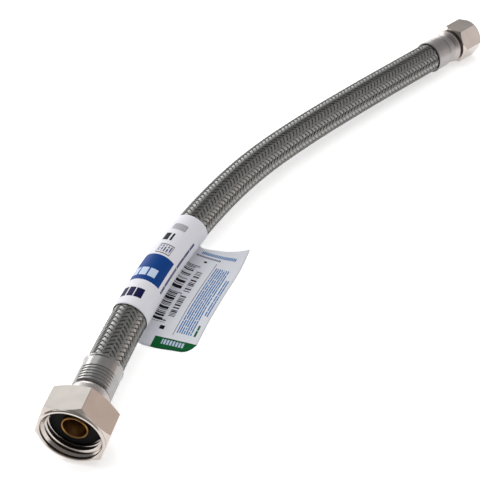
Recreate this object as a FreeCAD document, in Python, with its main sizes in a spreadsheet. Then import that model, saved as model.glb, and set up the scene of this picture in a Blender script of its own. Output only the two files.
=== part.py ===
import FreeCAD, Part
import math
import os
import Sketcher

# Braided supply line: a flexible water hose with a pipe-thread swivel nut on one end and a
# compression swivel nut on the other, and a flag label round the hose.
# Row frame: millimetres, +Z up, lying on z = 0, +X from the pipe-thread end to the other.
# Each fitting has a frame of its own: origin at its nut's mouth, +X along the axis into the hose.

App = FreeCAD
Vector = App.Vector

SIZES = [
    ("hose_outer_d", 13.6, "over the braid"),
    ("braid_inner_d", 12.0, "braid sits on the inner tube"),
    ("layer_gap", 0.02, "each side of the face between braid and tube"),
    ("tube_inner_d", 8.0, "water passage of the inner tube"),
    ("fip_flats", 23.8, "15/16 in across the flats"),
    ("fip_nut_length", 12.0, "mouth to back face"),
    ("fip_lip", 0.8, "round lip in front of the flats"),
    ("fip_chamfer", 0.95, "corner chamfer, along the axis"),
    ("fip_pilot_d", 21.5, "plain land that leads the male thread in"),
    ("fip_crest_d", 19.0, "1/2-14 pipe thread, inside the crests"),
    ("fip_root_d", 21.2, "1/2-14 pipe thread, at the roots"),
    ("fip_pitch", 1.814, "14 threads per inch"),
    ("fip_thread_end", 7.7, "mouth to the last root"),
    ("fip_shelf", 9.2, "mouth to the nut's inner shelf"),
    ("fip_neck_d", 11.0, "stem neck that the nut turns on"),
    ("fip_tip", 3.8, "mouth to the stem's tip"),
    ("fip_tip_d", 9.6, "stem tip that centres the washer"),
    ("fip_tip_bore_d", 8.3, "wide mouth of the stem's water passage"),
    ("fip_tip_bore_end", 11.0, "nut mouth to where the passage narrows"),
    ("fip_bore_d", 6.4, "water passage of the stem"),
    ("fip_washer_d", 18.4, "flat sealing washer"),
    ("fip_washer_front", 5.3, "mouth to the washer's face"),
    ("fip_flange_front", 7.6, "mouth to the stem's flange"),
    ("fip_flange_d", 17.6, "flange that the nut pulls on"),
    ("fip_collar_start", 12.5, "mouth to the collar behind the nut"),
    ("fip_collar_d", 14.6, "collar behind the nut"),
    ("fip_ferrule_start", 19.6, "mouth to the crimped ferrule"),
    ("fip_ferrule_end", 32.3, "mouth to the ferrule's lip, where the hose comes out"),
    ("comp_flats", 15.9, "5/8 in across the flats"),
    ("comp_nut_length", 12.7, "mouth to back face"),
    ("comp_lip", 0.5, "round lip in front of the flats"),
    ("comp_chamfer", 1.5, "corner chamfer, along the axis"),
    ("comp_pilot_d", 14.5, "plain land that leads the male thread in"),
    ("comp_crest_d", 13.2, "9/16-24 thread, inside the crests"),
    ("comp_root_d", 14.3, "9/16-24 thread, at the roots"),
    ("comp_pitch", 1.058, "24 threads per inch"),
    ("comp_thread_end", 7.4, "mouth to the last root"),
    ("comp_shelf", 9.3, "mouth to the nut's inner shelf"),
    ("comp_neck_d", 9.8, "stem neck that the nut turns on"),
    ("comp_tip", 3.2, "mouth to the stem's tip"),
    ("comp_tip_d", 6.2, "stem tip that carries the cone washer"),
    ("comp_tip_bore_d", 5.0, "wide mouth of the stem's water passage"),
    ("comp_tip_bore_end", 9.0, "nut mouth to where the passage narrows"),
    ("comp_bore_d", 4.6, "water passage of the stem"),
    ("comp_washer_d", 12.4, "cone washer's wide end"),
    ("comp_washer_front", 3.9, "mouth to the cone washer's narrow end"),
    ("comp_flange_front", 7.7, "mouth to the stem's flange"),
    ("comp_flange_d", 12.4, "flange that the nut pulls on"),
    ("comp_collar_start", 14.2, "mouth to the flared collar behind the nut"),
    ("comp_collar_d", 15.0, "flared rim of the collar"),
    ("comp_waist_d", 12.0, "waist between collar and ferrule"),
    ("comp_ferrule_start", 17.7, "mouth to the crimped ferrule"),
    ("comp_ferrule_end", 28.9, "mouth to the ferrule's lip, where the hose comes out"),
    ("ferrule_d", 14.5, "over the crimped ferrules"),
    ("ferrule_lip_d", 14.9, "over the rolled lip"),
    ("crimp_depth", 0.25, "depth of the crimp rings"),
    ("corner_round", 0.3, "radius on the nuts' six long corners"),
    ("face_step", 0.25, "how far the nuts' round end faces stay inside the flats"),
    ("mouth_ease", 0.25, "small chamfer at the mouth of each bore"),
    ("edge_ease", 0.25, "small chamfer on turned edges"),
    ("seam", 0.1, "gap between each collar and the ferrule behind it"),
    ("running_gap", 0.06, "radial clearance between nut and stem neck"),
    ("end_gap", 0.05, "axial clearance between flange and shelf"),
    ("tail_d", 7.2, "each stem's tail under its barbs"),
    ("tail_inset", 1.2, "how far the tail ends inside the ferrule's lip"),
    ("barb_rise", 0.35, "height of the barbs inside the hose"),
    ("barb_inset", 1.0, "hose's end to the first barb"),
    ("ferrule_fit", 0.03, "radial gap between the braid and the ferrules"),
    ("tail_fit", 0.07, "radial gap between a tail and its ferrule's closed end"),
    ("washer_fit", 0.01, "radial gap between a stem's tip and its washer"),
    ("washer_seat", 0.02, "axial gap between a washer and the flange behind it"),
    ("pilot_land", 0.9, "length of the plain land in each nut's mouth"),
    ("film", 0.2, "label film"),
    ("film_gap", 0.05, "between the braid and the film"),
    ("flag_reach", 24.0, "from the hose's line out to the flag's free edge"),
    ("flag_flat", 5.4, "from the hose's line out to where the flag lies flat"),
    ("flag_height", 0.15, "underside of the flag over the floor"),
    ("flag_curl", 5.8, "how far the flag's free corner lifts off the floor"),
]

# Points of the hose's route, from inside the pipe-thread ferrule to inside the compression
# ferrule. The first and last runs also give the two fittings their axes.
ROUTE = [
    (-128.75, -5.75, 12.52),
    (-103.1, 3.27, 11.24),
    (-66.6, 12.95, 10.8),
    (-28.6, 17.65, 10.7),
    (5.4, 18.05, 10.3),
    (40.4, 12.95, 9.8),
    (76.4, 5.45, 9.2),
    (109.4, -2.05, 8.5),
    (129.44, -7.1, 8.5),
]
FIP_HOSE_INSET = 20.6  # nut mouth to the hose's end inside the pipe-thread ferrule
COMP_HOSE_INSET = 21.4  # the same at the compression end
FIP_ROLL = -11.1  # how far the pipe-thread nut is turned about its axis, in degrees
COMP_ROLL = 6.0
BARBS = 3  # on each stem's tail
ARC_SHARE = 0.45  # share of the shorter run that each tangent arc takes

LABEL_START = 57.8  # along the hose, from the pipe-thread nut's mouth
LABEL_END = 112.3
FLAG_SECTIONS = 8  # across which the flag follows the hose's curve
FLAG_ROOT = -74.0  # where the flag leaves the band, in degrees from the hose's right-hand side
FLAG_SKEW_START = -0.01  # how the flag's ends slant along the hose, per millimetre outwards
FLAG_SKEW_END = 0.13
FLAG_STEPS = 4  # from where the flag lies flat to its free edge


class Size:
    """A length that knows both its value and the sheet expression that drives it."""

    def __init__(self, text, value):
        self.text = text
        self.value = value

    def __add__(self, other):
        return join(self, "+", other)

    def __sub__(self, other):
        return join(self, "-", other)

    def __mul__(self, other):
        return join(self, "*", other)

    def __truediv__(self, other):
        return join(self, "/", other)


def as_size(term):
    return term if isinstance(term, Size) else Size(repr(float(term)), float(term))


def join(left, sign, right):
    a = as_size(left)
    b = as_size(right)
    values = {
        "+": lambda: a.value + b.value,
        "-": lambda: a.value - b.value,
        "*": lambda: a.value * b.value,
        "/": lambda: a.value / b.value,
    }
    return Size(f"({a.text} {sign} {b.text})", values[sign]())


doc = App.newDocument("supply_line")
sheet = doc.addObject("Spreadsheet::Sheet", "sizes")
for row, (alias, value, note) in enumerate(SIZES, start=1):
    sheet.set(f"A{row}", alias)
    sheet.set(f"B{row}", str(value))
    sheet.setAlias(f"B{row}", alias)
    sheet.set(f"C{row}", note)
doc.recompute()
mm = {alias: float(sheet.get(alias)) for alias, value, note in SIZES}
size = {alias: Size(f"sizes.{alias}", value) for alias, value in mm.items()}


# --- route and frames -------------------------------------------------------------------------

route = [Vector(*point) for point in ROUTE]


def fitting_frame(hose_end, next_point, inset, roll):
    """Placement of a fitting: +X from its nut's mouth into the hose, turned by roll about +X."""
    inward = (next_point - hose_end).normalize()
    yaw = math.degrees(math.atan2(inward.y, inward.x))
    pitch = -math.degrees(math.asin(inward.z))
    return App.Placement(hose_end - inward * inset, App.Rotation(yaw, pitch, roll))


fip_frame = fitting_frame(route[0], route[1], FIP_HOSE_INSET, 0)
fip_nut_frame = fitting_frame(route[0], route[1], FIP_HOSE_INSET, FIP_ROLL)
comp_frame = fitting_frame(route[-1], route[-2], COMP_HOSE_INSET, 0)
comp_nut_frame = fitting_frame(route[-1], route[-2], COMP_HOSE_INSET, COMP_ROLL)


def hose_edges(points):
    """Straight runs joined by tangent arcs, each as large as its two runs allow."""
    edges = []
    radii = []
    here = points[0]
    for before, corner, after in zip(points, points[1:], points[2:]):
        back = (before - corner).normalize()
        on = (after - corner).normalize()
        half_turn = (math.pi - back.getAngle(on)) / 2
        reach = ARC_SHARE * min(before.distanceToPoint(corner), after.distanceToPoint(corner))
        radius = reach / math.tan(half_turn)
        radii.append(radius)
        start = corner + back * reach
        end = corner + on * reach
        to_centre = (back + on).normalize()
        inside = radius / math.cos(half_turn) - radius
        edges.append(Part.LineSegment(here, start).toShape())
        edges.append(Part.Arc(start, corner + to_centre * inside, end).toShape())
        here = end
    edges.append(Part.LineSegment(here, points[-1]).toShape())
    return edges, radii


def piece_of(edge, start, end):
    """The part of an edge between two distances along it."""
    first = edge.getParameterByLength(start)
    last = edge.getParameterByLength(end)
    return edge.Curve.toShape(first, last)


def stretch_of(edges, start, end):
    """A wire along the hose between two distances from its first point."""
    kept = []
    done = 0.0
    for edge in edges:
        low = max(start - done, 0.0)
        high = min(end - done, edge.Length)
        if high - low > 1e-6:
            kept.append(piece_of(edge, low, high))
        done += edge.Length
    return Part.Wire(kept)


def tube_along(wire, outer_radius, inner_radius):
    """A round tube swept along a wire."""
    first = wire.Edges[0]
    at = first.valueAt(first.FirstParameter)
    along = first.tangentAt(first.FirstParameter)

    def rod(radius):
        ring = Part.Wire(Part.Circle(at, along, radius).toShape())
        return wire.makePipeShell([ring], True, True)

    return rod(outer_radius).cut(rod(inner_radius))


def point_on(wire, distance):
    """Point, forward direction, right-hand direction and up direction along a wire."""
    done = 0.0
    for edge in wire.Edges:
        if distance <= done + edge.Length + 1e-6:
            at = edge.getParameterByLength(min(distance - done, edge.Length))
            forward = edge.tangentAt(at)
            right = forward.cross(Vector(0, 0, 1)).normalize()
            return edge.valueAt(at), forward, right, right.cross(forward)
        done += edge.Length
    raise ValueError("the distance is past the wire's end")


# --- turned and hexagonal bodies --------------------------------------------------------------


def origin_plane(body, role):
    return next(f for f in body.Origin.OriginFeatures if f.Role == role)


def bound_sketch(body, name, plane, points):
    """A closed outline through points, each coordinate bound to the sheet."""
    sketch = body.newObject("Sketcher::SketchObject", name)
    sketch.AttachmentSupport = [(origin_plane(body, plane), "")]
    sketch.MapMode = "FlatFace"
    corners = [(as_size(x), as_size(y)) for x, y in points]
    places = [Vector(x.value, y.value, 0) for x, y in corners]
    for here, there in zip(places, places[1:] + places[:1]):
        sketch.addGeometry(Part.LineSegment(here, there), False)
    last = len(corners) - 1
    for index in range(len(corners)):
        following = 0 if index == last else index + 1
        sketch.addConstraint(Sketcher.Constraint("Coincident", index, 2, following, 1))
    for index, pair in enumerate(corners):
        for kind, where in zip(("DistanceX", "DistanceY"), pair):
            rule = Sketcher.Constraint(kind, -1, 1, index, 1, where.value)
            number = sketch.addConstraint(rule)
            label = f"{kind[-1].lower()}_of_{index}"
            sketch.renameConstraint(number, label)
            sketch.setExpression(f"Constraints.{label}", where.text)
    return sketch


def turned(body, name, points, kind="PartDesign::Revolution"):
    """Revolves an outline of (along, radius) points about the fitting's axis."""
    sketch = bound_sketch(body, name + "_outline", "XY_Plane", points)
    feature = body.newObject(kind, name)
    feature.Profile = sketch
    feature.ReferenceAxis = (sketch, ["H_Axis"])
    feature.Angle = 360
    body.Tip = feature
    doc.recompute()
    return feature


def new_body(label, frame):
    body = doc.addObject("PartDesign::Body", label)
    body.Label = label
    body.Placement = frame
    return body


def must_shrink(body, before, what):
    if body.Shape.Volume >= before - 1e-3:
        raise ValueError(f"{body.Label}: {what} removed nothing")


def long_edges(shape, length):
    """Names of a prism's edges that run its whole length along +X."""
    names = []
    for number, edge in enumerate(shape.Edges, start=1):
        if abs(edge.BoundBox.XLength - length) < 1e-6:
            names.append(f"Edge{number}")
    return names


def hex_nut(label, frame, prefix):
    """A swivel nut: hexagon, chamfered ends, threaded mouth, inner shelf and neck hole."""
    flats = size[prefix + "_flats"]
    length = size[prefix + "_nut_length"]
    lip = size[prefix + "_lip"]
    chamfer = size[prefix + "_chamfer"]
    crest = size[prefix + "_crest_d"] / 2
    root = size[prefix + "_root_d"] / 2
    pitch = size[prefix + "_pitch"]
    thread_end = size[prefix + "_thread_end"]
    shelf = size[prefix + "_shelf"]
    hole = size[prefix + "_neck_d"] / 2 + size["running_gap"]
    body = new_body(label, frame)

    across = flats / math.sqrt(3)
    half = across / 2
    side = flats / 2
    corners = [
        (across, 0), (half, side), (half * -1, side),
        (across * -1, 0), (half * -1, side * -1), (half, side * -1),
    ]
    hexagon = bound_sketch(body, label + "_hexagon", "YZ_Plane", corners)
    pad = body.newObject("PartDesign::Pad", label + "_pad")
    pad.Profile = hexagon
    pad.setExpression("Length", length.text)
    body.Tip = pad
    doc.recompute()
    rounding = body.newObject("PartDesign::Fillet", label + "_corners")
    rounding.Base = (pad, long_edges(pad.Shape, length.value))
    rounding.setExpression("Radius", size["corner_round"].text)
    body.Tip = rounding
    doc.recompute()

    clear = 1.0  # how far the cutters reach past the nut
    beyond = length + clear
    ahead = as_size(-clear)
    outside = across + clear
    corner = across + 0.1
    rim = side - size["face_step"]
    front_end = lip + chamfer
    back_start = length - chamfer
    front = [
        (ahead, rim), (0, rim), (lip / 2, side), (lip, side),
        (front_end, corner), (front_end, outside), (ahead, outside),
    ]
    back = [
        (beyond, rim), (length, rim), (back_start, corner), (back_start, outside), (beyond, outside),
    ]
    pilot = size[prefix + "_pilot_d"] / 2
    ease = size["mouth_ease"]
    land_end = size["pilot_land"] + ease
    bore = [
        (ahead, 0), (ahead, pilot + ease), (0, pilot + ease), (ease, pilot),
        (land_end, pilot), (land_end + pilot - crest, crest),
        (shelf, crest), (shelf, hole), (beyond, hole), (beyond, 0),
    ]
    for name, outline in (("front", front), ("back", back), ("bore", bore)):
        before = body.Shape.Volume
        turned(body, f"{label}_{name}", outline, "PartDesign::Groove")
        must_shrink(body, before, name)

    land = pitch / 8  # half the flat at the root
    flank = pitch * 0.44  # half the groove's width at the crests
    start = pitch * -0.5  # one half turn ahead of the mouth
    inside = crest - 0.06  # just inside the crests, so that the cut is open
    groove = bound_sketch(
        body, label + "_thread_outline", "XY_Plane",
        [
            (start - flank, inside), (start - land, root),
            (start + land, root), (start + flank, inside),
        ],
    )
    thread = body.newObject("PartDesign::SubtractiveHelix", label + "_thread")
    thread.Profile = groove
    thread.ReferenceAxis = (groove, ["H_Axis"])
    thread.Mode = 0
    thread.setExpression("Pitch", pitch.text)
    thread.setExpression("Height", (thread_end - start).text)
    before = body.Shape.Volume
    body.Tip = thread
    doc.recompute()
    must_shrink(body, before, "thread")
    return body


def barbs(start, end, radius, rise, count):
    """Outline points of barbs that rise towards the nut and taper towards the hose."""
    points = []
    step = (end - start) / count
    for index in range(count):
        points.append((start + step * index, radius + rise))
        points.append((start + step * (index + 1), radius))
    return points


def stem(label, frame, prefix, collar, hose_inset):
    """The inner fitting: tip, flange, neck, collar and barbed tail round one bore."""
    ease = size["edge_ease"]
    tip = size[prefix + "_tip"]
    tip_radius = size[prefix + "_tip_d"] / 2
    tip_bore = size[prefix + "_tip_bore_d"] / 2
    tip_bore_end = size[prefix + "_tip_bore_end"]
    bore = size[prefix + "_bore_d"] / 2
    flange = size[prefix + "_flange_front"]
    flange_radius = size[prefix + "_flange_d"] / 2
    flange_back = size[prefix + "_shelf"] - size["end_gap"]
    neck = size[prefix + "_neck_d"] / 2
    tail = size["tail_d"] / 2
    tail_start = size[prefix + "_ferrule_start"] - size["seam"]
    tail_end = size[prefix + "_ferrule_end"] - size["tail_inset"]
    barb_start = as_size(hose_inset) + size["barb_inset"]
    body = new_body(label, frame)
    outline = [
        (tip, tip_bore + ease), (tip, tip_radius - ease), (tip + ease, tip_radius),
        (flange, tip_radius), (flange, flange_radius - ease), (flange + ease, flange_radius),
        (flange_back, flange_radius), (flange_back, neck),
        *collar(neck),
        (tail_start, tail), (barb_start, tail),
        *barbs(barb_start, tail_end, tail, size["barb_rise"], BARBS),
        (tail_end, bore), (tip_bore_end + tip_bore - bore, bore), (tip_bore_end, tip_bore),
        (tip + ease, tip_bore),
    ]
    turned(body, label + "_turned", outline)
    return body


def fip_collar(neck):
    """A plain collar with eased edges, right behind the pipe-thread nut."""
    start = size["fip_collar_start"]
    end = size["fip_ferrule_start"] - size["seam"]
    top = size["fip_collar_d"] / 2
    ease = 0.6  # edge at the nut
    shoulder = 1.6  # length of the rounded edge at the ferrule
    drop = 1.0  # how far that edge falls
    return [
        (start, neck), (start, top - ease), (start + ease, top),
        (end - shoulder, top), (end - shoulder / 3, top - drop / 3), (end, top - drop),
    ]


def comp_collar(neck):
    """A collar that flares towards the compression nut, with a waist behind it."""
    start = size["comp_collar_start"]
    end = size["comp_ferrule_start"] - size["seam"]
    top = size["comp_collar_d"] / 2
    waist = size["comp_waist_d"] / 2
    ease = 0.3
    rim = 0.9  # from the collar's face to where it starts to narrow
    shoulder = 0.45
    waist_length = 1.2
    return [
        (start, neck), (start, top - ease), (start + ease, top), (start + rim, top),
        (start + rim + shoulder, top - shoulder), (end - waist_length, waist), (end, waist),
    ]


def ferrule(label, frame, prefix, hose_inset, outside):
    """A crimped sleeve: closed in round the stem at the nut's end, open lip at the hose's end."""
    body = new_body(label, frame)
    start = size[prefix + "_ferrule_start"]
    end = size[prefix + "_ferrule_end"]
    hug = size["tail_d"] / 2 + size["tail_fit"]
    inner = size["hose_outer_d"] / 2 + size["ferrule_fit"]
    lip = size["ferrule_lip_d"] / 2
    body_radius = size["ferrule_d"] / 2
    hose_end = as_size(hose_inset) - size["seam"]
    ease = size["edge_ease"]
    widening = 1.3  # from the sleeve's plain part to its end
    roll = 0.7  # length of the rolled lip
    outline = [
        (start, hug),
        *outside(start, body_radius),
        (end - widening, body_radius), (end - roll, lip), (end - ease, lip), (end, lip - ease),
        (end, inner + ease), (end - ease, inner), (hose_end, inner), (hose_end, hug),
    ]
    turned(body, label + "_turned", outline)
    return body


def ringed(start, top):
    """Outside of the pipe-thread ferrule: a shoulder and five crimp rings, plain behind them."""
    shoulder = 0.6
    first = start + 0.9
    ring_pitch = 1.35
    slope = 0.35  # length of each side of a ring and of its floor
    low = top - size["crimp_depth"]
    points = [(start, top - shoulder), (start + shoulder, top)]
    for index in range(5):
        at = first + ring_pitch * index
        points += [(at, top), (at + slope, low), (at + slope * 2, low), (at + slope * 3, top)]
    return points


def stepped(start, top):
    """Outside of the compression ferrule: a low step, a shallow groove, then full size."""
    slope = 0.4
    low = top - 0.35
    step_end = start + 2.6
    floor = low - 0.15
    return [
        (start, low - slope), (start + slope, low), (step_end, low),
        (step_end + slope, floor), (step_end + slope * 2, floor), (step_end + slope * 3.5, top),
    ]


def washer(label, frame, outline):
    body = new_body(label, frame)
    turned(body, label + "_turned", outline)
    return body


hex_nut("fip_nut", fip_nut_frame, "fip")
hex_nut("comp_nut", comp_nut_frame, "comp")
stem("fip_stem", fip_frame, "fip", fip_collar, FIP_HOSE_INSET)
stem("comp_stem", comp_frame, "comp", comp_collar, COMP_HOSE_INSET)
ferrule("fip_ferrule", fip_frame, "fip", FIP_HOSE_INSET, ringed)
ferrule("comp_ferrule", comp_frame, "comp", COMP_HOSE_INSET, stepped)

tip_fit = size["fip_tip_d"] / 2 + size["washer_fit"]
washer_top = size["fip_washer_d"] / 2
washer_front = size["fip_washer_front"]
washer_back = size["fip_flange_front"] - size["washer_seat"]
washer_edge = 0.3
washer(
    "fip_washer", fip_frame,
    [
        (washer_front, tip_fit), (washer_front, washer_top - washer_edge),
        (washer_front + washer_edge, washer_top), (washer_back, washer_top), (washer_back, tip_fit),
    ],
)
cone_fit = size["comp_tip_d"] / 2 + size["washer_fit"]
cone_front = size["comp_washer_front"]
cone_back = size["comp_flange_front"] - size["washer_seat"]
cone_top = size["comp_washer_d"] / 2
cone_wall = 1.0  # wall of the cone washer at its narrow end
cone_rim = 0.8  # length of its wide end's straight rim
washer(
    "comp_cone_washer", comp_frame,
    [
        (cone_front, cone_fit), (cone_front, cone_fit + cone_wall),
        (cone_back - cone_rim, cone_top), (cone_back, cone_top), (cone_back, cone_fit),
    ],
)


# --- hose and label ---------------------------------------------------------------------------


def shape_node(label, shape):
    node = doc.addObject("Part::Feature", label)
    node.Label = label
    node.Shape = shape
    node.Placement = App.Placement()
    return node


edges, radii = hose_edges(route)
hose_wire = Part.Wire(edges)
print("arc radii:", [round(radius, 1) for radius in radii], "hose length:", round(hose_wire.Length, 2))
tubes = [
    ("braid_sleeve", mm["hose_outer_d"] / 2, mm["braid_inner_d"] / 2 + mm["layer_gap"]),
    ("inner_tube", mm["braid_inner_d"] / 2 - mm["layer_gap"], mm["tube_inner_d"] / 2),
]
for label, outer_radius, inner_radius in tubes:
    tube = tube_along(hose_wire, outer_radius, inner_radius)
    section = math.pi * (outer_radius ** 2 - inner_radius ** 2)
    print(label, "volume over section x length:", round(tube.Volume / section / hose_wire.Length, 5))
    shape_node(label, tube)


def band_round_hose(start, end):
    """The label's band: a thin tube that follows the hose."""
    inner = mm["hose_outer_d"] / 2 + mm["film_gap"]
    return tube_along(stretch_of(edges, start, end), inner + mm["film"], inner)


def flag_section(distance, share):
    """The flag's outline where it leaves the band: two plies, down to the floor and out along it."""
    at, forward, right, up = point_on(hose_wire, distance)
    across = Vector(right.x, right.y, 0).normalize()
    skew = FLAG_SKEW_START + (FLAG_SKEW_END - FLAG_SKEW_START) * share
    on = Vector(forward.x, forward.y, 0).normalize() * skew
    plies = 2 * mm["film"]
    middle = (mm["hose_outer_d"] + mm["film"]) / 2 + mm["film_gap"]
    root = math.radians(FLAG_ROOT)
    first = (middle * math.cos(root), at.z + middle * math.sin(root))
    curl = mm["flag_curl"] * share ** 6
    flat = mm["flag_flat"]
    floor = mm["flag_height"]
    # (out from the hose's centreline, height, direction of the film's upper side)
    root_side = (0.95, 0.3)
    bend = [(3.0, 1.3, 0.8, 0.6), (4.0, 0.45, 0.45, 0.9)]
    spine = [(*first, *root_side), *bend]
    for step in range(FLAG_STEPS + 1):
        run = step / FLAG_STEPS
        out = flat + run * (mm["flag_reach"] - flat)
        lean = -0.2 * share * run
        spine.append((out, floor + curl * run ** 2, lean, 1.0))
    lower = [(out, high) for out, high, normal_out, normal_up in spine]
    upper = [
        (out + plies * normal_out, high + plies * normal_up)
        for out, high, normal_out, normal_up in spine
    ]
    base = Vector(at.x, at.y, 0)
    outline = lower + upper[::-1] + lower[:1]
    return Part.makePolygon([
        base + across * out + on * out + Vector(0, 0, high) for out, high in outline
    ])


def flag_label():
    """One film: a band round the hose whose two ends are stuck together as a flag."""
    start = LABEL_START - FIP_HOSE_INSET
    end = LABEL_END - FIP_HOSE_INSET
    shares = [index / (FLAG_SECTIONS - 1) for index in range(FLAG_SECTIONS)]
    sections = [flag_section(start + (end - start) * share, share) for share in shares]
    flag = Part.makeLoft(sections, True, True)
    return band_round_hose(start, end).fuse(flag).removeSplitter()


shape_node("flag_label", flag_label())


# --- checks and export ------------------------------------------------------------------------

doc.recompute()
nodes = [item for item in doc.Objects if item.TypeId in ("PartDesign::Body", "Part::Feature")]
for item in doc.Objects:
    if "Invalid" in item.State or "Error" in item.State:
        raise ValueError(f"{item.Name} failed: {item.State}")
whole = App.BoundBox()
os.makedirs("parts", exist_ok=True)
for node in nodes:
    if node.Shape.isNull() or not node.Shape.isValid():
        raise ValueError(f"{node.Label} has a bad shape")
    box = node.Shape.optimalBoundingBox()
    whole.add(box)
    node.Shape.exportStep(f"parts/{node.Label}.step")
    limits = [round(v, 2) for v in (box.XMin, box.XMax, box.YMin, box.YMax, box.ZMin, box.ZMax)]
    print(node.Label, len(node.Shape.Solids), round(node.Shape.Volume, 1), limits)
limits = (whole.XMin, whole.XMax, whole.YMin, whole.YMax, whole.ZMin, whole.ZMax)
print("box", [round(limit, 2) for limit in limits])
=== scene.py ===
import math

import bpy
import numpy as np
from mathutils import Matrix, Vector


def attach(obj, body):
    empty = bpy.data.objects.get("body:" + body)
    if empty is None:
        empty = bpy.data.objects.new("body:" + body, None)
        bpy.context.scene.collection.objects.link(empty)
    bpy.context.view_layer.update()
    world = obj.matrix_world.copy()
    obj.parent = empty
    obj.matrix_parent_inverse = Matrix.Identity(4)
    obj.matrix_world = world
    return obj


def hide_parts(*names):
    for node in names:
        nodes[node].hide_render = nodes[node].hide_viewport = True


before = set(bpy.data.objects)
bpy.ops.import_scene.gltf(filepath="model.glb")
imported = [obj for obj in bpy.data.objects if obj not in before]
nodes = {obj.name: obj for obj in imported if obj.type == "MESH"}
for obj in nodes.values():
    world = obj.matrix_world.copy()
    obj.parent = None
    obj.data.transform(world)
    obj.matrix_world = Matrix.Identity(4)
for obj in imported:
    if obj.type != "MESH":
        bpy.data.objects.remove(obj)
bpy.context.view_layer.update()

# Braided supply line: the looks around the CAD frame. Metres, except where a name says mm.
# "Station" is the distance along the hose from the pipe-thread nut's mouth, in millimetres.
# Angles round the hose are from its right-hand side (-Y), with 90 degrees at the top.

MM = 0.001
scene = bpy.context.scene
scene.view_settings.view_transform = "Standard"

# --- camera -----------------------------------------------------------------------------------

CAMERA_PLACE = (-0.31707, -0.19359, 0.31613)
CAMERA_TILT = math.radians(47.53)  # up from straight down
CAMERA_TURN = math.radians(-56.655)  # from +Y, towards +X
FOCAL_LENGTH_MM = 84.67
SENSOR_MM = 36.0

camera_data = bpy.data.cameras.new("camera")
camera_data.lens = FOCAL_LENGTH_MM
camera_data.sensor_width = SENSOR_MM
camera = bpy.data.objects.new("camera", camera_data)
scene.collection.objects.link(camera)
camera.location = CAMERA_PLACE
camera.rotation_euler = (CAMERA_TILT, 0.0, CAMERA_TURN)
scene.camera = camera

# --- the hose's line --------------------------------------------------------------------------

ROUTE = [
    (-0.12875, -0.00575, 0.01252),
    (-0.1031, 0.00327, 0.01124),
    (-0.0666, 0.01295, 0.0108),
    (-0.0286, 0.01765, 0.0107),
    (0.0054, 0.01805, 0.0103),
    (0.0404, 0.01295, 0.0098),
    (0.0764, 0.00545, 0.0092),
    (0.1094, -0.00205, 0.0085),
    (0.12944, -0.0071, 0.0085),
]
HOSE_START_MM = 20.6  # station of the route's first point, inside the ferrule
EXIT_MM = 32.3  # station of the ferrule's lip, where the hose comes out
LIP_FROM_ROUTE_END_MM = 7.5  # the other ferrule's lip, back from the route's last point
MOUTH_FROM_ROUTE_END_MM = 21.4  # the compression nut's mouth, on from the route's last point
SPAN_STEPS = 80  # steps of the line in each span of its spline


def points_of_spline(points):
    """Points along the smooth spline that has these control points."""
    curve = bpy.data.curves.new("hose_line", "CURVE")
    curve.dimensions = "3D"
    curve.resolution_u = SPAN_STEPS
    spline = curve.splines.new("NURBS")
    spline.points.add(len(points) - 1)
    for point, place in zip(spline.points, points):
        point.co = (*place, 1.0)
    spline.order_u = 3
    spline.use_endpoint_u = True
    holder = bpy.data.objects.new("hose_line", curve)
    scene.collection.objects.link(holder)
    mesh = bpy.data.meshes.new_from_object(holder)
    line = np.array([vertex.co[:] for vertex in mesh.vertices])
    bpy.data.objects.remove(holder)
    bpy.data.meshes.remove(mesh)
    bpy.data.curves.remove(curve)
    return line


line = points_of_spline(ROUTE)
steps = np.linalg.norm(np.diff(line, axis=0), axis=1)
station = HOSE_START_MM + np.concatenate([[0.0], np.cumsum(steps)]) / MM
HOSE_END_MM = station[-1]
LIP_END_MM = HOSE_END_MM - LIP_FROM_ROUTE_END_MM
forward = np.gradient(line, station, axis=0)
forward /= np.linalg.norm(forward, axis=1, keepdims=True)


def along_hose(at_mm):
    """Centre, right-hand direction and up direction at stations, each an array of vectors."""
    at_mm = np.asarray(at_mm, float)
    centre = np.stack([np.interp(at_mm, station, line[:, k]) for k in range(3)], -1)
    ahead = np.stack([np.interp(at_mm, station, forward[:, k]) for k in range(3)], -1)
    right = np.cross(ahead, (0.0, 0.0, 1.0))
    right /= np.linalg.norm(right, axis=-1, keepdims=True)
    up = np.cross(right, ahead)
    return centre, right, up / np.linalg.norm(up, axis=-1, keepdims=True)


def on_hose(at_mm, angle, radius_mm):
    """Points round the hose, at stations, angles in radians and radii."""
    centre, right, up = along_hose(at_mm)
    side = np.cos(angle)[..., None] * right + np.sin(angle)[..., None] * up
    return centre + side * np.asarray(radius_mm)[..., None] * MM


# --- meshes -----------------------------------------------------------------------------------


def sheet_faces(rows, columns, first, closed):
    """Quads of a grid of rows and columns; closed joins its last column to its first."""
    spans = columns if closed else columns - 1
    row, column = np.meshgrid(np.arange(rows - 1), np.arange(spans), indexing="ij")
    following = (column + 1) % columns
    here = first + row * columns
    quads = [here + column, here + following, here + columns + following, here + columns + column]
    return np.stack(quads, -1).reshape(-1, 4).tolist()


def hose_piece(name, points, faces, material):
    """A smooth-shaded mesh that belongs to the hose's body."""
    mesh = bpy.data.meshes.new(name)
    mesh.from_pydata(np.asarray(points).reshape(-1, 3).tolist(), [], faces)
    mesh.validate()
    mesh.polygons.foreach_set("use_smooth", [True] * len(mesh.polygons))
    mesh.materials.append(material)
    piece = bpy.data.objects.new(name, mesh)
    scene.collection.objects.link(piece)
    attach(piece, "hose")
    return piece


# --- shader helpers ---------------------------------------------------------------------------


def linear(*rgb):
    """Linear colour from 0 to 255 screen values."""
    shares = [value / 255 for value in rgb]
    bent = [c / 12.92 if c <= 0.04045 else ((c + 0.055) / 1.055) ** 2.4 for c in shares]
    return (*bent, 1.0)


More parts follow.
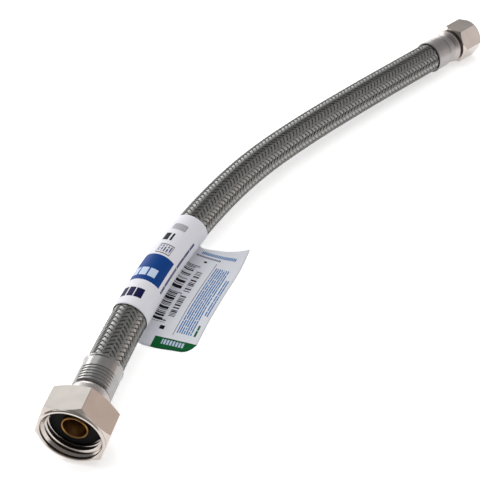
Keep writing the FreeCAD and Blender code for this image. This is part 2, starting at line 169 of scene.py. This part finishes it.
class Shader:
    """A material's node tree and its Principled shader, with short calls to add to it."""

    def __init__(self, name, **sockets):
        self.material = bpy.data.materials.new(name)
        self.material.use_nodes = True
        self.tree = self.material.node_tree
        self.surface = self.tree.nodes["Principled BSDF"]
        for socket, value in sockets.items():
            self.surface.inputs[socket.replace("_", " ")].default_value = value

    def node(self, kind, inputs=(), **settings):
        made = self.tree.nodes.new(kind)
        for setting, value in settings.items():
            setattr(made, setting, value)
        for socket, value in dict(inputs).items():
            self.feed(value, made.inputs[socket])
        return made

    def feed(self, value, socket):
        if isinstance(value, bpy.types.NodeSocket):
            self.tree.links.new(value, socket)
        else:
            socket.default_value = value

    def math(self, operation, *terms):
        return self.node("ShaderNodeMath", enumerate(terms), operation=operation).outputs[0]

    def inside(self, value, low, high):
        """1 where value lies between low and high."""
        return self.math("COMPARE", value, (low + high) / 2, (high - low) / 2)

    def blend(self, mask, under, over):
        """The colour under, with the colour over it where the mask is 1."""
        mixer = self.node("ShaderNodeMix", data_type="RGBA")
        self.feed(mask, mixer.inputs[0])
        self.feed(under, mixer.inputs[6])
        self.feed(over, mixer.inputs[7])
        return mixer.outputs[2]

    def place(self):
        """Position in the object, in metres."""
        return self.node("ShaderNodeTexCoord").outputs["Object"]

    def noise(self, scale, detail=2.0, vector=None):
        """Noise with this many patches in a metre, or in a unit of the vector that is given."""
        inputs = {"Vector": vector or self.place(), "Scale": scale, "Detail": detail}
        return self.node("ShaderNodeTexNoise", inputs).outputs[0]

    def spread(self, value, low, high):
        """A 0 to 1 value moved to the range from low to high."""
        inputs = {"Value": value, "To Min": low, "To Max": high}
        return self.node("ShaderNodeMapRange", inputs).outputs[0]

    def colour(self, value):
        self.feed(value, self.surface.inputs["Base Color"])

    def roughness(self, value):
        self.feed(value, self.surface.inputs["Roughness"])

    def bump(self, height, depth, strength):
        inputs = {"Height": height, "Distance": depth, "Strength": strength}
        made = self.node("ShaderNodeBump", inputs)
        self.feed(made.outputs[0], self.surface.inputs["Normal"])


# --- braid and inner tube ---------------------------------------------------------------------

CARRIERS = 16  # bundles each way round
LAY_MM = 33.0  # length in which a bundle goes once round
WIRES = 5  # side by side in a bundle
WIRE_MM = 0.25
BUNDLE_MM = 1.22
BRAID_RADIUS_MM = 6.46  # midway between a bundle on top and one underneath
WEAVE_MM = 0.15  # how far a bundle rises and dips from there
CROSSING_SHARPNESS = 1.7  # how quickly it does so between two crossings
WEAVE_START = math.radians(55.1)  # angle of the first crossing
BRAID_SAMPLES = 520
UNDER_LIP_MM = 0.45  # the braid's ends run this far under the ferrules' lips
STEEL_TONES = (0.34, 0.37)  # of every other bundle, and of those between
STEEL_TINT = (1.0, 0.985, 0.95)
STEEL_EDGE = (0.3, 0.3, 0.3, 1.0)  # keeps the wires from turning white where they are seen edge-on
STEEL_ROUGHNESS = 0.3


def braid_material(name, tone):
    colour = (*[tone * share for share in STEEL_TINT], 1.0)
    steel = Shader(
        name, Metallic=1.0, Base_Color=colour, Roughness=STEEL_ROUGHNESS, Specular_Tint=STEEL_EDGE
    )
    return steel.material


def bundle_section():
    """Across and up offsets of a bundle's outline: its wires' crowns and valleys, and a flat back."""
    count = WIRES * 2 + 1
    across = np.linspace(-BUNDLE_MM / 2, BUNDLE_MM / 2, count)
    crowns = np.where(np.arange(count) % 2 == 1, WIRE_MM / 2, 0.0)
    crowns[0] = crowns[-1] = -WIRE_MM * 0.2  # the outer wires fall away at the sides
    half_back = BUNDLE_MM * 0.44
    back_up = [-WIRE_MM / 2, -WIRE_MM / 2]
    return np.concatenate([across, [half_back, -half_back]]), np.concatenate([crowns, back_up])


def bundle_points(index, way):
    """One bundle, way +1 or -1 round the hose, over two of the others and under two."""
    turn = 2 * math.pi / LAY_MM
    gap = 2 * math.pi / CARRIERS
    lean = math.atan(turn * BRAID_RADIUS_MM)
    across, height = bundle_section()
    centre = np.linspace(EXIT_MM - UNDER_LIP_MM, LIP_END_MM + UNDER_LIP_MM, BRAID_SAMPLES)
    shift = -way * across * math.sin(lean)
    at = np.clip(centre[:, None] + shift[None, :], centre[0], centre[-1])
    angle = index * gap + way * turn * centre[:, None] + (across * math.cos(lean) / BRAID_RADIUS_MM)
    other = (angle + way * turn * at) / gap
    first_on_top = 0.5 if way > 0 else 2.5  # half a pattern of four bundles apart
    wave = np.cos((index + other - first_on_top) * math.pi / 2)
    rise = np.tanh(CROSSING_SHARPNESS * wave) / math.tanh(CROSSING_SHARPNESS)
    radius = BRAID_RADIUS_MM + WEAVE_MM * rise + height[None, :]
    return on_hose(at, angle + WEAVE_START, radius)


def braid_piece(name, way, indices, material):
    """Several bundles of one way round, as one mesh with closed ends."""
    points = []
    faces = []
    for index in indices:
        bundle = bundle_points(index, way)
        rows, columns = bundle.shape[:2]
        first = len(points) * rows * columns
        faces += sheet_faces(rows, columns, first, closed=True)
        last = first + (rows - 1) * columns
        faces.append([first + k for k in range(columns)][::-1])
        faces.append([last + k for k in range(columns)])
        points.append(bundle)
    piece = hose_piece(name, np.array(points), faces, material)
    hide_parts("braid_sleeve")
    return piece


for way, word in ((1, "right"), (-1, "left")):
    for half, tone in enumerate(STEEL_TONES):
        name = f"braid_{word}_{half + 1}"
        indices = range(half, CARRIERS, 2)
        braid_piece(name, way, indices, braid_material(name, tone))

CORE_RADIUS_MM = 6.2
CORE_BORE_RADIUS_MM = 4.0
CORE_ROWS = 260
CORE_SIDES = 40


def core_tube():
    """The inner tube, which shows dark between the wires."""
    rubber = Shader("core_rubber", Base_Color=(0.012, 0.012, 0.013, 1.0), Roughness=0.55)
    stations = np.linspace(HOSE_START_MM, HOSE_END_MM, CORE_ROWS)
    circle = np.linspace(0, 2 * math.pi, CORE_SIDES, endpoint=False)
    at, angles = np.meshgrid(stations, circle, indexing="ij")
    radii = (CORE_RADIUS_MM, CORE_BORE_RADIUS_MM)
    walls = [on_hose(at, angles, np.full(at.shape, radius)) for radius in radii]
    count = at.size
    faces = sheet_faces(CORE_ROWS, CORE_SIDES, 0, closed=True)
    faces += [quad[::-1] for quad in sheet_faces(CORE_ROWS, CORE_SIDES, count, closed=True)]
    for first, flip in ((0, False), (count - CORE_SIDES, True)):
        for k in range(CORE_SIDES):
            here = first + k
            there = first + (k + 1) % CORE_SIDES
            quad = [here, count + here, count + there, there]
            faces.append(quad[::-1] if flip else quad)
    tube = hose_piece("inner_hose", np.array(walls), faces, rubber.material)
    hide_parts("inner_tube")
    return tube


core = core_tube()

# --- label ------------------------------------------------------------------------------------

FILM_RADIUS_MM = 7.05
FILM_MM = 0.15
FILM_STEPS = 64  # along the hose
LABEL_MM = (57.0, 113.0)  # the label's two ends, roughly, as stations
BAND_STEPS = 72  # round the hose
BAND_MM = (57.4, 112.4)  # the band's two edges where it faces right
BAND_LEAN_MM = (1.1, -1.4)  # how far each has moved at the angle that follows
BAND_LEAN_ANGLE = math.radians(120)

ROOT_ANGLE = math.radians(-74)  # where the two ends of the film meet
ROOT_SPREAD = math.radians(30)  # each end leaves the hose this far from there
ROOT_REACH_MM = FILM_RADIUS_MM / math.cos(ROOT_SPREAD) + 0.1  # from the hose's middle
ROOT_RUN_MM = 1.8  # how strongly the flag keeps its first direction
BEND_MM = 3.3  # out from the hose's line to where it turns level
BEND_STEPS = 12
FLAG_FLAT_MM = 5.2  # out from the hose's line to where the flag lies flat
FLAG_REACH_MM = 24.0
FLAG_STEPS = 18
FLAG_HEIGHT_MM = 0.36  # of its middle over the floor
PLY_MM = FILM_MM + 0.02  # from the flag's middle to the outer side of each of its two plies
RIPPLE_MM = 0.12
RIPPLE_OUT = 0.5  # radians in a millimetre out from the hose
RIPPLE_ALONG = 9  # radians from one end of the flag to the other
CURL_MM = 5.8  # rise of the corner that curls up
CURL_LATE_ALONG = 7  # powers that keep the curl to that corner
CURL_LATE_OUT = 2.2

# The flag's two ends, as distances out from the hose's line and stations. One corner is round.
FLAG_START = ((4, 56.6), (10, 56.3), (20, 57.2), (21.6, 58.0), (22.9, 59.8), (23.9, 62.4))
FLAG_END = ((4, 113.3), (10, 114.6), (18, 115.5), (23.9, 116.0))


def band_edges(angle):
    """First and last station of the band at an angle round the hose."""
    share = np.maximum(angle, 0) / BAND_LEAN_ANGLE
    return [edge + lean * share for edge, lean in zip(BAND_MM, BAND_LEAN_MM)]


def flag_edges(out_mm):
    """First and last station of the flag, out from the hose's line."""
    return [np.interp(out_mm, *zip(*outline)) for outline in (FLAG_START, FLAG_END)]


def flag_spine(centre_height, share):
    """Out and height offsets of the flag's middle, from its root to its free edge."""
    first_way = np.array([math.cos(ROOT_ANGLE), math.sin(ROOT_ANGLE)])
    root = np.array([0, centre_height]) + ROOT_REACH_MM * first_way
    bend = [
        root,
        root + ROOT_RUN_MM * first_way,
        np.array([BEND_MM, FLAG_HEIGHT_MM]),
        np.array([FLAG_FLAT_MM, FLAG_HEIGHT_MM]),
    ]
    along = np.linspace(0, 1, BEND_STEPS)[:, None]
    curve = sum(
        math.comb(3, k) * (1 - along) ** (3 - k) * along ** k * bend[k] for k in range(4)
    )
    run = np.linspace(0, 1, FLAG_STEPS)[1:, None]
    out = FLAG_FLAT_MM + run * (FLAG_REACH_MM - FLAG_FLAT_MM)
    ripple = RIPPLE_MM * np.sin(out * RIPPLE_OUT + share * RIPPLE_ALONG) ** 2 * run
    curl = CURL_MM * share ** CURL_LATE_ALONG * run ** CURL_LATE_OUT
    height = FLAG_HEIGHT_MM + ripple + curl
    return np.concatenate([curve, np.concatenate([out, height], -1)])


def film_section(centre_height, share):
    """The film's outer side once round, in three parts from free edge to free edge, and the angles
    of the part that goes round the hose. Each point has its distance out and its height."""
    spine = flag_spine(centre_height, share)
    slope = np.gradient(spine, axis=0)
    slope /= np.linalg.norm(slope, axis=1, keepdims=True)
    upward = np.stack([-slope[:, 1], slope[:, 0]], -1)
    upper = (spine + upward * PLY_MM)[::-1]
    lower = spine - upward * PLY_MM
    first = ROOT_ANGLE + ROOT_SPREAD
    last = ROOT_ANGLE + 2 * math.pi - ROOT_SPREAD
    angles = np.linspace(first, last, BAND_STEPS)
    band = FILM_RADIUS_MM * np.stack([np.cos(angles), np.sin(angles)], -1)
    return upper, band + np.array([0, centre_height]), lower, angles


PRINT_TURN_MM = 13.8  # across the film, from its right-hand side to where the flag lies flat


def across_film(section, angles, count):
    """Distance across the film from the hose's right-hand side: down to the flag is negative."""
    steps = np.linalg.norm(np.diff(section, axis=0), axis=1)
    travel = np.concatenate([[0.0], np.cumsum(steps)])
    across = travel - travel[count] + FILM_RADIUS_MM * angles[0]
    across[count:-count] = FILM_RADIUS_MM * angles
    flat = np.interp(-FLAG_FLAT_MM, -section[:count, 0], travel[:count])
    across[:count] = travel[:count] - flat - PRINT_TURN_MM
    return across


def film_rows():
    """The film's outer side, and each point's distances along the hose and across the film."""
    rows = []
    rows_along = []
    rows_across = []
    for share in np.linspace(0, 1, FILM_STEPS):
        centre = along_hose(np.interp(share, (0, 1), LABEL_MM))[0]
        upper, band, lower, angles = film_section(centre[2] / MM, share)
        section = np.concatenate([upper, band, lower])
        count = len(upper)
        first, last = flag_edges(section[:, 0])
        first[count:-count], last[count:-count] = band_edges(angles)
        at = first + (last - first) * share
        base, side, _ = along_hose(at)
        side[:, 2] = 0
        side /= np.linalg.norm(side, axis=1, keepdims=True)
        points = base + side * section[:, :1] * MM
        points[:, 2] = section[:, 1] * MM
        rows.append(points)
        rows_along.append(at)
        rows_across.append(across_film(section, angles, count))
    return np.array(rows), np.array(rows_along), np.array(rows_across)


def shell(outer, thickness):
    """Points and faces of a sheet with thickness, its inner side offset along the normals."""
    lengthwise = np.gradient(outer, axis=0)
    crosswise = np.gradient(outer, axis=1)
    normal = np.cross(crosswise, lengthwise)
    normal /= np.linalg.norm(normal, axis=-1, keepdims=True)
    inner = outer + normal * thickness
    rows, columns = outer.shape[:2]
    count = rows * columns
    faces = [quad[::-1] for quad in sheet_faces(rows, columns, 0, closed=False)]
    faces += sheet_faces(rows, columns, count, closed=False)
    rim = list(range(columns))
    rim += [r * columns + columns - 1 for r in range(1, rows)]
    rim += [(rows - 1) * columns + k for k in range(columns - 2, -1, -1)]
    rim += [r * columns for r in range(rows - 2, 0, -1)]
    for here, there in zip(rim, rim[1:] + rim[:1]):
        faces.append([here, there, count + there, count + here])
    return np.concatenate([outer.reshape(-1, 3), inner.reshape(-1, 3)]), faces


WHITE_FILM = linear(220, 219, 225)
FLAG_FILM = linear(224, 226, 232)
NAVY = linear(12, 8, 62)
BLUE = linear(2, 58, 126)
GREEN = linear(0, 88, 42)
PALE = linear(190, 204, 226)
INK = linear(18, 18, 24)
LIGHT_BLUE = linear(74, 122, 176)
GREY_INK = linear(84, 84, 118)
FLAG_INNER_MM = 3.0  # out from the hose's line to where the flag's tone begins

# Styles of dashes: from row to row, a row's height and a word's length in mm, and how much is blank
BOXED_PRINT = (1.1, 0.6, 0.8, 0.45)
WIDE_PRINT = (0.85, 0.4, 2.5, 0.4)
SIDE_PRINT = (1.36, 1.1, 0.6, 0.4)
PALE_PRINT = (1.15, 0.75, 3.0, 0.35)
FIGURES = (3.0, 2.5, 0.75, 0.5)
SMALL_PRINT = (0.88, 0.5, 0.8, 0.42)
GREEN_PRINT = (0.9, 0.8, 0.7, 0.4)
FIRST_NOTE = (0.6, 0.42, 0.9, 0.36)
SECOND_NOTE = (0.7, 0.5, 0.9, 0.36)

CODE_BAR_MM = 0.34
CODE_SHARE = 0.48


def on_band(degrees):
    """Distance across the film to an angle round the hose."""
    return FILM_RADIUS_MM * math.radians(degrees)


def on_flag(out):
    """Distance across the film to a distance out from the hose's line on the flag."""
    return -(out - FLAG_FLAT_MM + PRINT_TURN_MM)


class Print:
    """Colours laid over each other on the film, in millimetres along the hose and across the film."""

    def __init__(self, film, ground):
        self.film = film
        self.along = film.node("ShaderNodeAttribute", attribute_name="print_along").outputs["Fac"]
        self.across = film.node("ShaderNodeAttribute", attribute_name="print_across").outputs["Fac"]
        self.colour = ground

    def ink(self, mask, colour):
        self.colour = self.film.blend(mask, self.colour, colour)

    def both(self, first, second):
        return self.film.math("MULTIPLY", first, second)

    def block(self, low, high, near, far):
        """Mask of a rectangle, from low to high along the hose and near to far across the film."""
        film = self.film
        return self.both(film.inside(self.along, low, high), film.inside(self.across, near, far))

    def bars(self, width, share):
        """Mask of bars that are whole widths wide and cover about this share of the film."""
        film = self.film
        module = film.math("FLOOR", film.math("DIVIDE", self.along, width))
        shade = film.node("ShaderNodeTexWhiteNoise", {"W": module}, noise_dimensions="1D")
        return film.math("GREATER_THAN", shade.outputs["Value"], 1 - share)

    def dashes(self, low, high, near, far, style, seed):
        """Rows of uneven dashes, like small print seen from too far off to read."""
        film = self.film
        pitch, height, word, blank = style
        cell = film.math("DIVIDE", film.math("SUBTRACT", self.across, near), pitch)
        row = film.math("FLOOR", cell)
        in_row = film.inside(film.math("FRACT", cell), 0.0, height / pitch)
        place = {0: film.math("DIVIDE", self.along, word), 1: row, 2: seed}
        words = film.noise(1.0, 3.0, vector=film.node("ShaderNodeCombineXYZ", place).outputs[0])
        printed = film.math("GREATER_THAN", words, blank)
        return self.both(self.both(in_row, printed), self.block(low, high, near, far))


def print_band(label):
    """Three navy blocks, a blue block with pale marks, then small marks towards the far edge."""
    for low, high in ((66, 91), (94, 114), (118, 140)):
        label.ink(label.block(62.7, 67.5, on_band(low), on_band(high)), NAVY)
    label.ink(label.block(72.0, 86.6, on_band(34), on_band(150)), BLUE)
    for low, high in ((62, 87), (92, 116), (121, 142)):
        label.ink(label.block(74.5, 78.8, on_band(low), on_band(high)), PALE)
    label.ink(label.block(87.6, 93.0, on_band(62), on_band(110)), INK)
    label.ink(label.block(88.0, 92.6, on_band(63.5), on_band(108.5)), WHITE_FILM)
    label.ink(label.dashes(88.6, 92.2, on_band(66), on_band(106), BOXED_PRINT, 3.0), GREY_INK)
    for low, high in ((86, 93), (99, 118)):
        label.ink(label.block(95.2, 99.4, on_band(low), on_band(high)), INK)
    label.ink(label.dashes(102.0, 105.5, on_band(68), on_band(115), WIDE_PRINT, 5.0), INK)
    label.ink(label.dashes(71.5, 102.0, on_band(12.5), on_band(23.5), SIDE_PRINT, 7.0), GREY_INK)


def print_flag(label):
    """A green end, a code of bars with blocks under it, rows of blue dashes, and two short columns."""
    label.ink(label.block(50.0, 62.2, on_flag(30), on_flag(7.8)), GREEN)
    label.ink(label.dashes(58.9, 61.4, on_flag(19.5), on_flag(11.0), PALE_PRINT, 9.0), PALE)

    bars = label.bars(CODE_BAR_MM, CODE_SHARE)
    label.ink(label.both(bars, label.block(69.5, 104.0, on_flag(7.0), on_flag(2.0))), INK)
    for low, high in ((69.5, 71.0), (86.0, 87.2), (102.5, 104.0)):
        label.ink(label.both(bars, label.block(low, high, on_flag(8.6), on_flag(6.9))), INK)
    for low, high, seed in ((73.0, 85.5, 11.0), (88.0, 100.5, 12.0)):
        label.ink(label.dashes(low, high, on_flag(10.9), on_flag(8.2), FIGURES, seed), INK)
    label.ink(label.block(66.0, 68.0, on_flag(9.5), on_flag(7.6)), INK)
    label.ink(label.block(106.0, 107.0, on_flag(9.6), on_flag(8.4)), INK)

    label.ink(label.block(64.4, 107.2, on_flag(13.9), on_flag(13.65)), GREY_INK)
    label.ink(label.dashes(66.0, 105.0, on_flag(20.4), on_flag(14.4), SMALL_PRINT, 13.0), LIGHT_BLUE)
    label.ink(label.dashes(78.0, 100.0, on_flag(22.6), on_flag(21.0), SMALL_PRINT, 15.0), LIGHT_BLUE)
    label.ink(label.dashes(66.0, 72.5, on_flag(22.1), on_flag(21.2), GREEN_PRINT, 17.0), GREEN)
    label.ink(label.dashes(108.6, 109.6, on_flag(14.5), on_flag(3.6), FIRST_NOTE, 19.0), GREY_INK)
    label.ink(label.dashes(110.4, 112.0, on_flag(20.5), on_flag(5.0), SECOND_NOTE, 21.0), LIGHT_BLUE)


def label_material():
    """White film with plain printed blocks, bars and rows of dashes; no lettering."""
    film = Shader("label_film", Roughness=0.5, Specular_IOR_Level=0.14)
    label = Print(film, WHITE_FILM)
    label.ink(film.math("LESS_THAN", label.across, on_flag(FLAG_INNER_MM)), FLAG_FILM)
    print_band(label)
    print_flag(label)
    film.colour(label.colour)
    film.bump(film.noise(260.0, 3.0), 0.0002, 0.35)
    return film.material


film_points, print_along, print_across = film_rows()
points, faces = shell(film_points, FILM_MM * MM)
label = hose_piece("label_film", points, faces, label_material())
for name, values in (("print_along", print_along), ("print_across", print_across)):
    attribute = label.data.attributes.new(name, "FLOAT", "POINT")
    attribute.data.foreach_set("value", np.tile(values.ravel(), 2))  # outer side, then inner
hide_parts("flag_label")

# --- fittings ---------------------------------------------------------------------------------

STAINS = 180.0  # patches in a metre, and the same for the brushing and grains
BRUSHING = 2600.0
BRUSHING_DEPTH = 0.00002
BRASS_GRAIN = 700.0
STEM_HANDLING = 900.0
RUBBER_MOTTLE = 900.0
RUBBER_GRAIN = 1500.0
RUBBER_GRAIN_DEPTH = 0.00003
NICKEL_TONE = (0.64, 0.575, 0.53, 1.0)
PLATED_FROM_MM = 10.0  # how far from its nut's mouth a stem's plating begins
STEM_TONE = (0.52, 0.48, 0.465, 1.0)
BRASS_TONES = ((0.32, 0.135, 0.025, 1.0), (0.38, 0.24, 0.1, 1.0))
RUBBER_TONES = ((0.004, 0.004, 0.004, 1.0), (0.01, 0.01, 0.01, 1.0))


def set_material(node, material):
    """Give a node this material and no other."""
    slots = nodes[node].data.materials
    slots.clear()
    slots.append(material)


def nickel(name, tone, roughness):
    """Bright nickel plate: fine brushing, and soft stains where it has been handled."""
    plate = Shader(name, Metallic=1.0)
    stains = plate.spread(plate.noise(STAINS, 4.0), -0.4, 1.2)
    stained = (*[share * 0.86 for share in tone[:3]], 1.0)
    plate.colour(plate.blend(stains, stained, tone))
    scratches = plate.noise(BRUSHING, 3.0)
    plate.roughness(plate.spread(scratches, roughness * 0.8, roughness * 1.25))
    plate.bump(scratches, BRUSHING_DEPTH, 0.25)
    return plate.material


def stem_material(name, route_end, inward, mouth_mm):
    """Brass inside the nut, nickel plate on the collar behind it. The nut's mouth is mouth_mm out
    from the route's end, and inward is the way from there into the hose."""
    stem = Shader(name, Metallic=1.0)
    mouth = route_end - inward * mouth_mm * MM
    offset = stem.node("ShaderNodeVectorMath", {0: stem.place(), 1: tuple(mouth)}, operation="SUBTRACT")
    ends = {0: offset.outputs[0], 1: tuple(inward)}
    depth = stem.node("ShaderNodeVectorMath", ends, operation="DOT_PRODUCT").outputs["Value"]
    plated = stem.math("GREATER_THAN", depth, PLATED_FROM_MM * MM)
    brass = stem.blend(stem.noise(BRASS_GRAIN), *BRASS_TONES)
    stem.colour(stem.blend(plated, brass, STEM_TONE))
    stem.roughness(stem.spread(stem.noise(STEM_HANDLING), 0.3, 0.45))
    stem.bump(stem.noise(BRUSHING), BRUSHING_DEPTH, 0.2)
    return stem.material


def rubber_material():
    """Black rubber with a fine grain."""
    rubber = Shader("washer_rubber", Roughness=0.6, Specular_IOR_Level=0.12)
    rubber.colour(rubber.blend(rubber.noise(RUBBER_MOTTLE), *RUBBER_TONES))
    rubber.bump(rubber.noise(RUBBER_GRAIN), RUBBER_GRAIN_DEPTH, 0.3)
    return rubber.material


nut_plate = nickel("nut_nickel", NICKEL_TONE, 0.2)
for node in ("fip_nut", "comp_nut"):
    set_material(node, nut_plate)

STEMS = (("fip_stem", 0, 1, HOSE_START_MM), ("comp_stem", -1, -2, MOUTH_FROM_ROUTE_END_MM))
for node, end, beside, mouth_mm in STEMS:
    inward = line[beside] - line[end]
    inward /= np.linalg.norm(inward)
    set_material(node, stem_material(node, line[end], inward, mouth_mm))

set_material("fip_ferrule", nickel("ferrule_steel", (0.4, 0.385, 0.377, 1.0), 0.22))
set_material("comp_ferrule", nickel("ferrule_satin", (0.47, 0.44, 0.435, 1.0), 0.4))

washer_rubber = rubber_material()
for node in ("fip_washer", "comp_cone_washer"):
    set_material(node, washer_rubber)

# --- stage ------------------------------------------------------------------------------------


def softbox(name, heading, elevation, distance, width, height, brightness):
    """A soft light that faces the object. Heading 0 is +X and 90 is +Y, in degrees."""
    lamp = bpy.data.lights.new(name, "AREA")
    lamp.shape = "RECTANGLE"
    lamp.size = width
    lamp.size_y = height
    lamp.energy = brightness * math.pi * width * height
    holder = bpy.data.objects.new(name, lamp)
    turn = math.radians(heading)
    lift = math.radians(elevation)
    level = math.cos(lift)
    towards = Vector((math.cos(turn) * level, math.sin(turn) * level, math.sin(lift)))
    holder.location = towards * distance
    holder.rotation_euler = towards.to_track_quat("Z", "Y").to_euler()
    scene.collection.objects.link(holder)
    return holder


softbox("key_low", 68, 5, 1.1, 1.75, 0.55, 3.0)
softbox("key_high", 68, 36, 1.1, 1.45, 0.46, 0.78).data.color = (0.92, 0.98, 1.0)
softbox("warm_card", -34, 8, 1.2, 0.7, 0.5, 0.28).data.color = (1.0, 0.6, 0.4)
softbox("side_card", -58, 18, 1.2, 0.5, 0.4, 0.4)
softbox("top", 0, 88, 1.5, 1.6, 1.6, 1.7).visible_glossy = False
softbox("left_fill", 112, 36, 1.4, 1.0, 0.9, 1.6).visible_glossy = False

DIM_WALL = 0.2
PALE_WALL = 0.46
PALE_WALL_HEIGHTS = (1.0, 0.76)  # rise of the direction where it begins, and where it is full
PALE_WALL_WAY = (0.97, -0.2, 0.0)
PALE_WALL_SPREAD = (-0.3, 0.5)  # share of that way where it begins, and where it is full


def studio_walls(tree):
    """Dim walls and ceiling, with a paler back wall low down behind the object."""

    def add(kind, **settings):
        made = tree.nodes.new(kind)
        for setting, value in settings.items():
            setattr(made, setting, value)
        return made

    def fade(value, begins, full):
        made = add("ShaderNodeMapRange", interpolation_type="SMOOTHSTEP")
        tree.links.new(value, made.inputs["Value"])
        made.inputs["From Min"].default_value = begins
        made.inputs["From Max"].default_value = full
        return made.outputs[0]

    direction = add("ShaderNodeTexCoord").outputs["Generated"]
    height = add("ShaderNodeSeparateXYZ")
    tree.links.new(direction, height.inputs[0])
    depth = add("ShaderNodeVectorMath", operation="DOT_PRODUCT")
    tree.links.new(direction, depth.inputs[0])
    depth.inputs[1].default_value = PALE_WALL_WAY
    pale = add("ShaderNodeMath", operation="MULTIPLY")
    tree.links.new(fade(height.outputs["Z"], *PALE_WALL_HEIGHTS), pale.inputs[0])
    tree.links.new(fade(depth.outputs["Value"], *PALE_WALL_SPREAD), pale.inputs[1])
    strength = add("ShaderNodeMath", operation="MULTIPLY_ADD")
    tree.links.new(pale.outputs[0], strength.inputs[0])
    strength.inputs[1].default_value = PALE_WALL - DIM_WALL
    strength.inputs[2].default_value = DIM_WALL
    background = tree.nodes["Background"]
    tree.links.new(strength.outputs[0], background.inputs["Strength"])
    background.inputs["Color"].default_value = (1.0, 1.0, 1.0, 1.0)


world = bpy.data.worlds.new("studio")
world.use_nodes = True
scene.world = world
studio_walls(world.node_tree)

HALF_FLOOR = 6.0
floor_paint = Shader(
    "floor_paint", Base_Color=(0.93, 0.93, 0.93, 1.0), Roughness=0.9,
    Emission_Color=(1.0, 1.0, 1.0, 1.0), Emission_Strength=0.45,
)
floor_paint.bump(floor_paint.noise(40.0), 0.0001, 0.1)
floor_mesh = bpy.data.meshes.new("floor")
corners = [(x * HALF_FLOOR, y * HALF_FLOOR, 0.0) for x, y in ((-1, -1), (1, -1), (1, 1), (-1, 1))]
floor_mesh.from_pydata(corners, [], [(0, 1, 2, 3)])
floor_mesh.materials.append(floor_paint.material)
floor = bpy.data.objects.new("floor", floor_mesh)
scene.collection.objects.link(floor)
